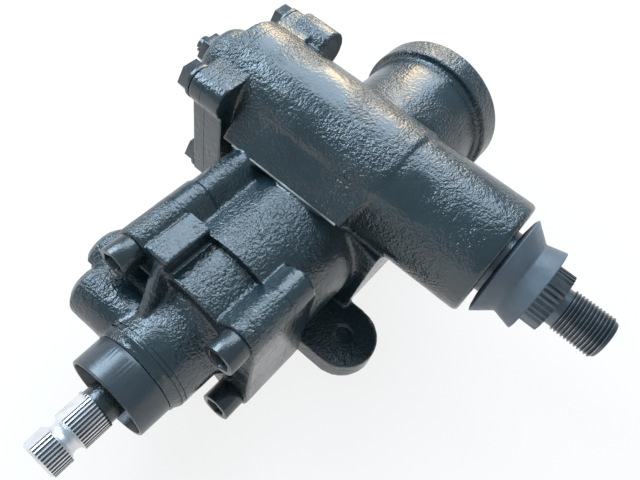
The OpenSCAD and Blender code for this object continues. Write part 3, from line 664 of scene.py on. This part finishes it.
@dataclass
class Casting:
    """A sand casting: a softened outer skin into which the machined bores are cut."""

    node: str
    voxel: float = 0.9
    passes: int = 3
    softness: float = 0.5
    wobble: float = 0.12
    wobble_size: float = 9.0
    crease: float = 40.0
    kept_share: float = 1.0
    finish: Finish = CAST_PAINT
    piece: bpy.types.Object | None = field(default=None, init=False)

    def tools(self) -> list[Rod | Block]:
        """Gives the tools that machine the casting."""
        return []

    def faces(self) -> list[JointFace]:
        """Gives the joint faces that are machined flat."""
        return []

    def lines(self) -> list[Rod | Hoop]:
        """Gives the tools that only mark the skin."""
        return []

    def build(self) -> None:
        """Makes the skin, softens it and cuts the machined bores."""
        tools = self.tools()
        bm = merged_copy(self.node)
        for face in self.faces():
            face.thicken(bm)
        for tool in tools:
            tool.fill(bm)
        self.piece = new_piece("cast_" + self.node, mesh_from(bm, self.node + "_skin"))
        skin = self.piece.modifiers.new("skin", "REMESH")
        skin.mode = "VOXEL"
        skin.voxel_size = self.voxel * MM
        settle(self.piece)
        self._soften_skin()
        self._cut([*(face.tool() for face in self.faces()), *tools, *self.lines()])
        soften(self.piece.data, self.crease)

    def _soften_skin(self) -> None:
        """Rounds the skin's edges and makes its faces slightly uneven."""
        bm = bmesh.new()
        bm.from_mesh(self.piece.data)
        for _ in range(self.passes):
            bmesh.ops.smooth_vert(bm, verts=bm.verts, factor=self.softness, use_axis_x=True, use_axis_y=True,
                                  use_axis_z=True)
        bm.normal_update()
        for vert in bm.verts:
            vert.co += vert.normal * noise.noise(vert.co / (self.wobble_size * MM)) * self.wobble * MM
        bm.to_mesh(self.piece.data)
        bm.free()

    def _cut(self, tools: list[Rod | Block | Hoop]) -> None:
        """Cuts the tools out of the skin, one after the other.

        Args:
            tools: The tools.
        """
        cutters = []
        for tool in tools:
            bm = bmesh.new()
            tool.add_to(bm)
            cutters.append(new_piece("tool", mesh_from(bm, "tool")))
            cut = self.piece.modifiers.new("cut", "BOOLEAN")
            cut.operation = "DIFFERENCE"
            cut.solver = "MANIFOLD"
            cut.object = cutters[-1]
        if self.kept_share < 1.0:
            thin = self.piece.modifiers.new("thin", "DECIMATE")
            thin.ratio = self.kept_share
        settle(self.piece)
        for cutter in cutters:
            bpy.data.meshes.remove(cutter.data)

    def dress(self) -> None:
        """Paints the casting and puts it in the node's place."""
        paint(self.piece, self.finish)
        enrol(self.piece, "housing", "painted_iron", self.node)


@dataclass
class GearHousing(Casting):
    """The main casting with the cylinder, the sector chamber, the trunnion and the lugs."""

    plug_flange: float = 8.0
    cavity_start: float = 30.0
    cavity_floor: float = 61.0
    valve_bolt_r: float = 5.05
    cover_bolt_r: float = 4.05
    lug_depth: float = 10.5
    dimple_start: float = 12.5
    dimple_end: float = 16.5
    dimple_inset: float = 1.0

    def tools(self) -> list[Rod | Block]:
        """Gives the bores, the bolt holes and the mounting holes."""
        return [*self._worm_bores(), *self._sector_bores(), *self._bolt_holes(), *self._mounting_holes()]

    def faces(self) -> list[JointFace]:
        """Gives the faces of the valve housing and of the side cover."""
        return [JointFace(Axis.X, span(self.node, X)[0], -1), JointFace(Axis.Y, span(self.node, Y)[1], 1)]

    def _worm_bores(self) -> list[Rod | Block]:
        """Finds the cylinder, the seat of the end plug and the groove of its ring.

        Returns:
            Three rods along the worm.
        """
        start, end = span(self.node, X)
        seat = span("end_plug", X)[1] - self.plug_flange
        ring_start, ring_end = span("end_plug_ring", X)
        return [rod_x(start - OVER, seat, half("piston_ring", Y) + FIT),
                rod_x(seat - OVER, end + OVER, half("end_plug", Y) + FIT),
                rod_x(ring_start, ring_end, half("end_plug_ring", Y) + FIT)]

    def _sector_bores(self) -> list[Rod | Block]:
        """Finds the sector's cavity, the bearing bore and the groove of the seal's ring.

        Returns:
            Three rods along the sector shaft, and the block below the cavity.
        """
        low, top = span(self.node, Y)
        cavity_r = half("side_cover_gasket", X) + FIT
        ring_start, ring_end = span("sector_seal_ring", Y)
        return [rod_y(self.cavity_start, top + OVER, cavity_r),
                Block((-cavity_r, self.cavity_start, self.cavity_floor), (cavity_r, top + OVER, SECTOR_Z)),
                rod_y(low - OVER, self.cavity_start + OVER, half("sector_bearing_inner", X) + FIT),
                rod_y(ring_start, ring_end, half("sector_seal_ring", X) + FIT)]

    def _bolt_holes(self) -> list[Rod | Block]:
        """Finds the tapped holes of both flanges.

        Returns:
            One rod per bolt.
        """
        joint = span(self.node, X)[0] - OVER
        valve_end = span("valve_housing_bolts", X)[1] + OVER
        top = span(self.node, Y)[1] + OVER
        cover_end = span("side_cover_bolts", Y)[0] - OVER
        valve_bolts = bolt_axes("valve_housing_bolts", Y, Z)
        cover_bolts = bolt_axes("side_cover_bolts", X, Z)
        return [*(rod_x(joint, valve_end, self.valve_bolt_r, at) for at in valve_bolts),
                *(rod_y(cover_end, top, self.cover_bolt_r, at) for at in cover_bolts)]

    def _mounting_holes(self) -> list[Rod | Block]:
        """Finds the blind holes of the lugs and the hole of the rear boss.

        Returns:
            Three upright rods.
        """
        radius = mount("mounting_holes")[1]["hole_r_mm"]
        rear, sizes = mount("rear_mounting_hole")
        return [rod_z(-OVER, sizes["length_mm"], sizes["r_mm"], (rear.x, rear.y)),
                *(rod_z(-OVER, self.lug_depth, radius, at) for at in self._lug_places())]

    def _lug_places(self) -> list[Pair]:
        """Gives where the two lugs stand."""
        centre, sizes = mount("mounting_holes")
        return [(centre.x + side * sizes["spacing_x_mm"], centre.y) for side in (-0.5, 0.5)]

    def lines(self) -> list[Rod | Hoop]:
        """Gives the dimple on top of each lug."""
        radius = mount("mounting_holes")[1]["hole_r_mm"] - self.dimple_inset
        return [rod_z(self.dimple_start, self.dimple_end, radius, at) for at in self._lug_places()]


@dataclass
class LedgeGlints:
    """Painted glints along the edges of the ledges beside the sector chamber, as thin light beads."""

    reach: float = 41.8
    ends: Pair = (28.0, 96.0)
    radius: float = 0.55
    steps: int = 12
    crease: float = 40.0
    piece: bpy.types.Object | None = field(default=None, init=False)

    def build(self) -> None:
        """Lays one bead along each ledge."""
        bm = bmesh.new()
        for side in (-1, 1):
            rod_y(*self.ends, self.radius, (side * self.reach, SECTOR_Z)).add_to(bm, steps=self.steps)
        self.piece = new_piece("ledge_glint_lines", mesh_from(bm, "ledge_glint_lines"))
        soften(self.piece.data, self.crease)

    def dress(self) -> None:
        """Gives the beads their painted glint and puts them on the housing."""
        paint(self.piece, LEDGE_GLINT_PAINT)
        enrol(self.piece, "housing", "painted_iron")


@dataclass
class ValveHousing(Casting):
    """The bolted casting round the rotary valve, with the nose, the gusset and the ports."""

    shaft_hole_r: float = 10.5
    bolt_hole_r: float = 5.5
    flange_t: float = 27.0
    seat_hole: float = 5.5
    skirt_r: float = 32.0
    nose_r: float = 25.5
    line_depth: float = 0.5
    line_room: float = 0.3
    line_width: float = 0.7
    line_places: tuple[float, ...] = (4.8, 7.2)

    def tools(self) -> list[Rod | Block]:
        """Gives the bores along the worm, the bolt holes and the ports."""
        return [*self._worm_bores(), *self._bolt_holes(),
                *self._port(*mount("pressure_port"), "pressure_seat"),
                *self._port(*mount("return_port"), "return_seat")]

    def lines(self) -> list[Rod | Hoop]:
        """Gives the two turned lines near the sleeve."""
        start = span(self.node, X)[0]
        return [Hoop(Axis.X, start + place, start + place + self.line_width, self.nose_r - self.line_depth,
                     self.nose_r + self.line_room) for place in self.line_places]

    def faces(self) -> list[JointFace]:
        """Gives the face on the gear housing, round the skirt."""
        return [JointFace(Axis.X, span("gear_housing", X)[0], 1, self.skirt_r)]

    def _worm_bores(self) -> list[Rod | Block]:
        """Finds the seats of the valve, the bearings and the input seal.

        Returns:
            Five rods along the worm.
        """
        start, end = span(self.node, X)
        bearing_start, bearing_end = span("input_bearing", X)
        return [rod_x(bearing_end, end + OVER, half("valve_rings", Y) + FIT),
                rod_x(span("worm_bearing_outer", X)[0], end + OVER, half("worm_bearing_outer", Y) + FIT),
                rod_x(bearing_start, bearing_end + OVER, half("input_bearing", Y) + FIT),
                rod_x(start - OVER, bearing_start + OVER, self.shaft_hole_r),
                rod_x(start - OVER, span("input_seal", X)[1], half("input_seal", Y) + FIT)]

    def _bolt_holes(self) -> list[Rod | Block]:
        """Finds the clear holes of the flange bolts.

        Returns:
            One rod per bolt.
        """
        joint = span("gear_housing", X)[0]
        return [rod_x(joint - self.flange_t - OVER, joint + OVER, self.bolt_hole_r, at)
                for at in bolt_axes("valve_housing_bolts", Y, Z)]

    def _port(self, centre: Vector, sizes: dict[str, float], seat: str) -> list[Rod | Block]:
        """Gives the threaded mouth of a port and the hole of its seat.

        Args:
            centre: Middle of the thread.
            sizes: Radius and length of the thread.
            seat: CAD node of the seat.

        Returns:
            Two rods.
        """
        at = (centre.x, centre.z)
        bottom = centre.y - sizes["length_mm"] / 2
        return [rod_y(bottom, bottom + sizes["length_mm"] + OVER, sizes["r_mm"], at),
                rod_y(span(seat, Y)[0], bottom + OVER, self.seat_hole, at)]


@dataclass
class SideCover(Casting):
    """The cover over the sector, with the dome that holds the adjuster."""

    bolt_hole_r: float = 4.5
    screw_r: float = 5.0
    bolt_wall: float = 8.0
    end_room: float = 2.0

    def faces(self) -> list[JointFace]:
        """Gives the face on the gear housing, round the holder of the bush."""
        return [JointFace(Axis.Y, span("gear_housing", Y)[1], -1, half("side_cover_gasket", X))]

    def tools(self) -> list[Rod | Block]:
        """Finds the bore of the bush, the adjuster's hole and the bolt holes.

        Returns:
            Two rods along the sector shaft, and one per bolt.
        """
        low, top = span(self.node, Y)
        plane = span("gear_housing", Y)[1]
        bore_end = span("sector_shaft", Y)[1] + self.end_room
        return [rod_y(low - OVER, bore_end, half("cover_bush", X) + FIT),
                rod_y(bore_end - 2 * OVER, top + OVER, self.screw_r + FIT),
                *(rod_y(plane - OVER, plane + self.bolt_wall + OVER, self.bolt_hole_r, at)
                  for at in bolt_axes("side_cover_bolts", X, Z))]


@dataclass
class EdgedNode:
    """A machined node whose sharp edges get a small chamfer."""

    node: str
    finish: Finish
    body: str
    slot: str
    width: float = 0.4
    segments: int = 2
    angle: float = 32.0
    piece: bpy.types.Object | None = field(default=None, init=False)

    def build(self) -> None:
        """Copies the node and bevels its sharp edges."""
        bm = merged_copy(self.node)
        bmesh.ops.dissolve_limit(bm, angle_limit=FLAT_ANGLE, verts=bm.verts, edges=bm.edges)
        limit = math.radians(self.angle)
        sharp = [e for e in bm.edges if len(e.link_faces) == 2 and e.calc_face_angle(0.0) > limit]
        bmesh.ops.bevel(bm, geom=sharp, offset=self.width * MM, segments=self.segments, profile=0.5,
                        affect="EDGES", material=-1, clamp_overlap=True)
        self.sort_faces(bm)
        self.piece = new_piece("edged_" + self.node, mesh_from(bm, self.node + "_edged"))
        soften(self.piece.data, self.angle)

    def sort_faces(self, bm: bmesh.types.BMesh) -> None:
        """Leaves all faces with the first finish."""

    def finishes(self) -> list[Finish]:
        """Gives the finishes in the order of the material numbers."""
        return [self.finish]

    def dress(self) -> None:
        """Gives the copy its finishes and puts it in the node's place."""
        paint(self.piece, *self.finishes())
        enrol(self.piece, self.body, self.slot, self.node)


@dataclass
class InputShaft(EdgedNode):
    """The input shaft: bright teeth with painted shade in the gaps between them, and paint on the neck."""

    spline_end: float = -169.0
    tilt: float = 0.12
    tooth_r: float = 10.1
    gap_area: float = 12.0
    gap_lean: float = 0.2

    def sort_faces(self, bm: bmesh.types.BMesh) -> None:
        """Numbers the faces between the teeth 1, which get painted shade, and those of the painted neck 2.

        Args:
            bm: Mesh of the shaft.
        """
        edge = Vector((self.spline_end, WORM_Y, WORM_Z)) * MM
        away = Vector((1.0, -self.tilt, 0.0))
        bmesh.ops.bisect_plane(bm, geom=[*bm.verts, *bm.edges, *bm.faces], plane_co=edge, plane_no=away)
        for face in bm.faces:
            centre = face.calc_center_median()
            radius = math.hypot(centre.y / MM - WORM_Y, centre.z / MM - WORM_Z)
            along = abs(face.normal.x) < self.gap_lean
            if (centre - edge).dot(away) > 0:
                face.material_index = 2
            # Faces deep between the teeth get the darker steel: painted shade.
            elif along and radius < self.tooth_r and face.calc_area() < self.gap_area * MM * MM:
                face.material_index = 1

    def finishes(self) -> list[Finish]:
        """Gives bright steel, the darker steel of the painted shade in the gaps, and paint."""
        return [self.finish, GAP_SHADE_STEEL, BOLT_PAINT]


@dataclass
class OutputEnd:
    """The sector shaft with the thread for the arm nut cut on its end, in millimetres."""

    neck: float = 3.5
    depth: float = 1.1
    pitch: float = 1.814
    flank_share: float = 0.48
    crest_share: float = 0.14
    crest_band: float = 0.1
    root_lap: float = 0.2
    parting: float = 0.05
    end_chamfer: float = 1.2
    steps: int = 48
    shaft_crease: float = 30.0
    thread_crease: float = 35.0
    shaft: bpy.types.Object | None = field(default=None, init=False)
    thread: bpy.types.Object | None = field(default=None, init=False)

    def build(self) -> None:
        """Builds the splined shaft and its thread."""
        centre, sizes = mount("output_thread")
        spline_end = centre.y + sizes["length_mm"] / 2
        self._build_shaft(spline_end)
        self._build_thread(spline_end, sizes["r_mm"])

    def _build_shaft(self, spline_end: float) -> None:
        """Copies the shaft and parts the plain thread blank off.

        Args:
            spline_end: Where the blank starts along y.
        """
        bm = merged_copy("sector_shaft")
        geom = [*bm.verts, *bm.edges, *bm.faces]
        part_at = (0, (spline_end - self.parting) * MM, 0)
        cut = bmesh.ops.bisect_plane(bm, geom=geom, plane_co=part_at, plane_no=(0, -1, 0), clear_outer=True)
        rim = [e for e in cut["geom_cut"] if isinstance(e, bmesh.types.BMEdge)]
        bmesh.ops.edgeloop_fill(bm, edges=rim)
        bmesh.ops.dissolve_limit(bm, angle_limit=FLAT_ANGLE, verts=bm.verts, edges=bm.edges)
        self.shaft = new_piece("output_shaft", mesh_from(bm, "output_shaft"))
        soften(self.shaft.data, self.shaft_crease)

    def _build_thread(self, spline_end: float, crest: float) -> None:
        """Turns the core, winds the thread on it and numbers its crests 1, which get a painted highlight.

        Args:
            spline_end: Where the core starts along y.
            crest: Outer radius of the thread.
        """
        bm = bmesh.new()
        root = (crest - self.depth) * MM
        length = (spline_end - span("sector_shaft", Y)[0]) * MM
        self._turn_core(bm, root, length)
        self._wind(bm, root, crest * MM, length)
        bmesh.ops.recalc_face_normals(bm, faces=bm.faces)
        for face in bm.faces:
            # Faces near the crest radius get the lighter steel: painted highlight.
            inmost = min(math.hypot(v.co.x, v.co.y) for v in face.verts)
            face.material_index = int(inmost > (crest - self.crest_band) * MM)
        placed = Matrix.Translation((0, spline_end * MM, SECTOR_Z * MM))
        bm.transform(placed @ Matrix.Rotation(QUARTER_TURN, 4, "X"))
        self.thread = new_piece("output_thread", mesh_from(bm, "output_thread"))
        soften(self.thread.data, self.thread_crease)

    def _turn_core(self, bm: bmesh.types.BMesh, root: float, length: float) -> None:
        """Turns the core along z, with a rounded free end.

        Args:
            bm: Mesh that receives it.
            root: Radius of the core, in metres.
            length: Length of the core, in metres.
        """
        bmesh.ops.create_cone(bm, cap_ends=True, segments=self.steps, radius1=root, radius2=root,
                              depth=length, matrix=Matrix.Translation((0, 0, length / 2)))
        free_end = [e for e in bm.edges if all(v.co.z > length / 2 for v in e.verts)]
        bmesh.ops.bevel(bm, geom=free_end, offset=self.end_chamfer * MM, segments=2, profile=0.5,
                        affect="EDGES", material=-1)

    def _wind(self, bm: bmesh.types.BMesh, root: float, crest: float, length: float) -> None:
        """Winds the ridge of the thread round the core.

        Args:
            bm: Mesh that holds the core.
            root: Radius of the core, in metres.
            crest: Radius of the crests, in metres.
            length: Length of the core, in metres.
        """
        flank = self.pitch * self.flank_share * MM
        start = self.neck * MM + flank
        turns = int((length - start - self.end_chamfer * MM) / (self.pitch * MM))
        tip = self.crest_share * flank
        sunk = root - self.root_lap * MM
        corners = [(sunk, start - flank), (crest, start - tip), (crest, start + tip), (sunk, start + flank)]
        profile = bm.faces.new([bm.verts.new((r, 0, z)) for r, z in corners])
        bmesh.ops.spin(bm, geom=[profile], axis=(0, 0, 1), cent=(0, 0, 0), angle=FULL_TURN * turns,
                       dvec=(0, 0, self.pitch * MM / self.steps), steps=self.steps * turns, use_merge=False)

    def dress(self) -> None:
        """Oils the shaft, gives the crests a painted highlight and puts both pieces on the sector."""
        paint(self.shaft, DARK_STEEL)
        paint(self.thread, DARK_STEEL, CREST_HIGHLIGHT_STEEL)
        enrol(self.shaft, "sector", "machined_steel", "sector_shaft")
        enrol(self.thread, "sector", "machined_steel")


@dataclass
class DustBoot:
    """The moulded boot on the output shaft: a funnel towards the trunnion and a skirt over the spline."""

    neck_r: float = 17.6
    waist_r: float = 20.1
    waist_at: float = 11.8
    skirt_r: float = 22.6
    lip: float = 2.4
    rim: float = 1.3
    inside: float = 7.4
    taper: float = 0.2
    rounding: float = 0.7
    rounding_steps: int = 3
    crease: float = 60.0
    piece: bpy.types.Object | None = field(default=None, init=False)

    def corners(self) -> list[Pair]:
        """Works out the corners of the profile.

        Returns:
            Radius and y of each corner, in millimetres.
        """
        low, high = span("dust_boot", Y)
        lip_r = half("dust_boot", X)
        return [(self.neck_r, high - self.taper), (lip_r - self.lip, high - self.rim),
                (lip_r, high - self.lip), (self.waist_r, high - self.waist_at), (self.skirt_r, low),
                (self.skirt_r - self.rim, low), (self.neck_r + self.taper, low + self.inside)]

    def build(self) -> None:
        """Rounds the corners of the profile and spins it round the sector axis."""
        bm = bmesh.new()
        verts = [bm.verts.new((r * MM, y * MM, SECTOR_Z * MM)) for r, y in self.corners()]
        for pair in zip(verts, verts[1:] + verts[:1]):
            bm.edges.new(pair)
        bmesh.ops.bevel(bm, geom=verts, offset=self.rounding * MM, segments=self.rounding_steps, profile=0.5,
                        affect="VERTICES", material=-1, clamp_overlap=True)
        bmesh.ops.spin(bm, geom=[*bm.verts, *bm.edges], axis=(0, 1, 0), cent=(0, 0, SECTOR_Z * MM),
                       angle=FULL_TURN, steps=ROUND, use_merge=True)
        bmesh.ops.recalc_face_normals(bm, faces=bm.faces)
        self.piece = new_piece("boot", mesh_from(bm, "boot"))
        soften(self.piece.data, self.crease)

    def dress(self) -> None:
        """Gives the boot its rubber and puts it on the shaft."""
        paint(self.piece, BOOT_RUBBER)
        enrol(self.piece, "sector", "boot_rubber", "dust_boot")


@dataclass
class NodeFinishes:
    """The finish of each material slot, for the nodes that keep their CAD meshes."""

    finishes: dict[str, Finish] = field(default_factory=lambda: {
        "machined_steel": INNER_STEEL, "dark_steel": DARK_STEEL, "seal_rubber": SEAL_RUBBER, "bronze": BRONZE,
        "ring_polymer": RING_POLYMER, "painted_fastener": BOLT_PAINT, "sleeve_metal": SLEEVE_PAINT,
        "painted_iron": CAST_PAINT, "boot_rubber": BOOT_RUBBER})

    def dress(self) -> None:
        """Gives every CAD node the finish of its material slot."""
        for part in frame["record"]["subparts"]:
            paint(frame["nodes"][part["node"]], self.finishes[part["material_slot"]])


@dataclass(frozen=True)
class Softbox:
    """One square lamp that points at the part, in metres and watts."""

    name: str
    place: Point
    size: float
    watts: float
    colour: Colour
    target: Point = (-0.04, 0.03, 0.06)

    def build(self) -> None:
        """Hangs the lamp."""
        data = bpy.data.lights.new(self.name, "AREA")
        data.size = self.size
        data.energy = self.watts
        data.color = self.colour
        lamp = bpy.data.objects.new(self.name, data)
        bpy.context.scene.collection.objects.link(lamp)
        lamp.location = self.place
        aim = Vector(self.target) - Vector(self.place)
        lamp.rotation_euler = aim.to_track_quat("-Z", "Y").to_euler()


@dataclass
class Studio:
    """Floor, surroundings, soft light and the camera at the photograph's angle."""

    camera_mm: Point = (-202.9, -44.2, 335.6)
    right: Point = (0.6300, -0.7599, 0.1602)
    down: Point = (-0.5919, -0.6034, -0.5344)
    forward: Point = (0.5027, 0.2419, -0.8299)
    lens: float = 35.41
    sensor: float = 36.0
    nearest: float = 0.01
    floor_r: float = 2.6
    cove_r: float = 0.3
    cove_h: float = 0.65
    floor_steps: int = 64
    floor_tone: Colour = (0.92, 0.86, 0.82)
    floor_rough: float = 0.9
    shadow_share: float = 0.16
    sky: Colour = (0.72, 0.89, 1.0)
    sky_level: float = 0.45
    softboxes: tuple[Softbox, ...] = (
        Softbox("sky_right", (0.54, 0.38, 0.87), 0.84, 9.8, (0.66, 0.83, 1.0)),
        Softbox("sky_left", (-0.14, 0.76, 0.76), 0.55, 9.0, (0.62, 0.82, 1.0)),
        Softbox("sun_side", (0.95, 0.53, 0.47), 0.4, 4.5, (1.0, 0.78, 0.5)))

    def build(self) -> None:
        """Sets the camera, the floor, the lights and the surroundings."""
        self._camera()
        self._floor()
        for softbox in self.softboxes:
            softbox.build()
        self._surroundings()
        bpy.context.scene.view_settings.view_transform = "Standard"

    def _camera(self) -> None:
        """Places the camera where the photograph was taken from."""
        data = bpy.data.cameras.new("camera")
        data.lens = self.lens
        data.sensor_width = self.sensor
        data.clip_start = self.nearest
        camera = bpy.data.objects.new("camera", data)
        bpy.context.scene.collection.objects.link(camera)
        columns = (Vector(self.right), -Vector(self.down), -Vector(self.forward))
        turn = Matrix([[c[i] for c in columns] for i in range(3)]).to_4x4()
        camera.matrix_world = Matrix.Translation(Vector(self.camera_mm) * MM) @ turn
        bpy.context.scene.camera = camera

    def _floor(self) -> None:
        """Lays a white floor that turns up at its edge."""
        bm = bmesh.new()
        rim = [(0.0, 0.0), (self.floor_r - self.cove_r, 0.0), (self.floor_r, self.cove_r),
               (self.floor_r, self.cove_h)]
        verts = [bm.verts.new((r, 0.0, z)) for r, z in rim]
        edges = [bm.edges.new(pair) for pair in zip(verts, verts[1:])]
        bmesh.ops.spin(bm, geom=[*verts, *edges], axis=(0, 0, 1), cent=(0, 0, 0), angle=FULL_TURN,
                       steps=self.floor_steps, use_merge=True)
        bmesh.ops.remove_doubles(bm, verts=bm.verts, dist=MM)
        floor = new_piece("floor", mesh_from(bm, "floor"))
        floor.data.materials.append(self._floor_white())

    def _floor_white(self) -> bpy.types.Material:
        """Makes a white that keeps a faint shadow.

        Returns:
            The floor's material.
        """
        made = bpy.data.materials.new("white_floor")
        made.use_nodes = True
        tree = made.node_tree
        shader = tree.nodes["Principled BSDF"]
        shader.inputs["Base Color"].default_value = (*self.floor_tone, 1.0)
        shader.inputs["Roughness"].default_value = self.floor_rough
        glow = tree.nodes.new("ShaderNodeEmission")
        glow.inputs["Strength"].default_value = 1.0
        share = tree.nodes.new("ShaderNodeMath")
        share.operation = "MULTIPLY"
        share.inputs[1].default_value = 1.0 - self.shadow_share
        tree.links.new(self._seen(tree), share.inputs[0])
        mix = tree.nodes.new("ShaderNodeMixShader")
        tree.links.new(share.outputs["Value"], mix.inputs["Fac"])
        tree.links.new(shader.outputs["BSDF"], mix.inputs[1])
        tree.links.new(glow.outputs["Emission"], mix.inputs[2])
        tree.links.new(mix.outputs["Shader"], tree.nodes["Material Output"].inputs["Surface"])
        return made

    def _seen(self, tree: Tree) -> Socket:
        """Tells a ray that is seen, straight or in a mirror or through glass, from one that only lights.

        Args:
            tree: Node tree that receives the nodes.

        Returns:
            1 for a ray that is seen and 0 for another.
        """
        path = tree.nodes.new("ShaderNodeLightPath")
        seen = path.outputs["Is Camera Ray"]
        for name in ("Is Glossy Ray", "Is Transmission Ray"):
            larger = tree.nodes.new("ShaderNodeMath")
            larger.operation = "MAXIMUM"
            tree.links.new(seen, larger.inputs[0])
            tree.links.new(path.outputs[name], larger.inputs[1])
            seen = larger.outputs["Value"]
        return seen

    def _surroundings(self) -> None:
        """Fills the space above the cove with an even, cool light."""
        world = bpy.data.worlds.new("surroundings")
        world.use_nodes = True
        bpy.context.scene.world = world
        back = world.node_tree.nodes["Background"]
        back.inputs["Color"].default_value = (*self.sky, 1.0)
        back.inputs["Strength"].default_value = self.sky_level


def main() -> None:
    """Builds and dresses every sub-assembly, then the studio."""
    logging.basicConfig(level=logging.INFO, format="%(message)s")
    NodeFinishes().dress()
    assemblies = [
        GearHousing("gear_housing", kept_share=0.45),
        LedgeGlints(),
        ValveHousing("valve_housing"),
        SideCover("side_cover", voxel=0.8),
        EdgedNode("side_cover_bolts", BOLT_PAINT, "housing", "painted_fastener", width=0.7),
        EdgedNode("adjuster_lock_nut", BOLT_PAINT, "housing", "painted_fastener", width=0.7),
        EdgedNode("adjuster_screw", BOLT_PAINT, "housing", "painted_fastener", width=0.5),
        EdgedNode("valve_housing_bolts", BOLT_PAINT, "housing", "painted_fastener", width=0.8),
        EdgedNode("input_sleeve", SLEEVE_PAINT, "housing", "sleeve_metal", width=0.4),
        InputShaft("input_shaft", BRIGHT_STEEL, "input", "machined_steel", width=0.12, segments=1),
        OutputEnd(),
        DustBoot(),
    ]
    for assembly in assemblies:
        assembly.build()
        assembly.dress()
    Studio().build()


if __name__ == "__main__":
    main()
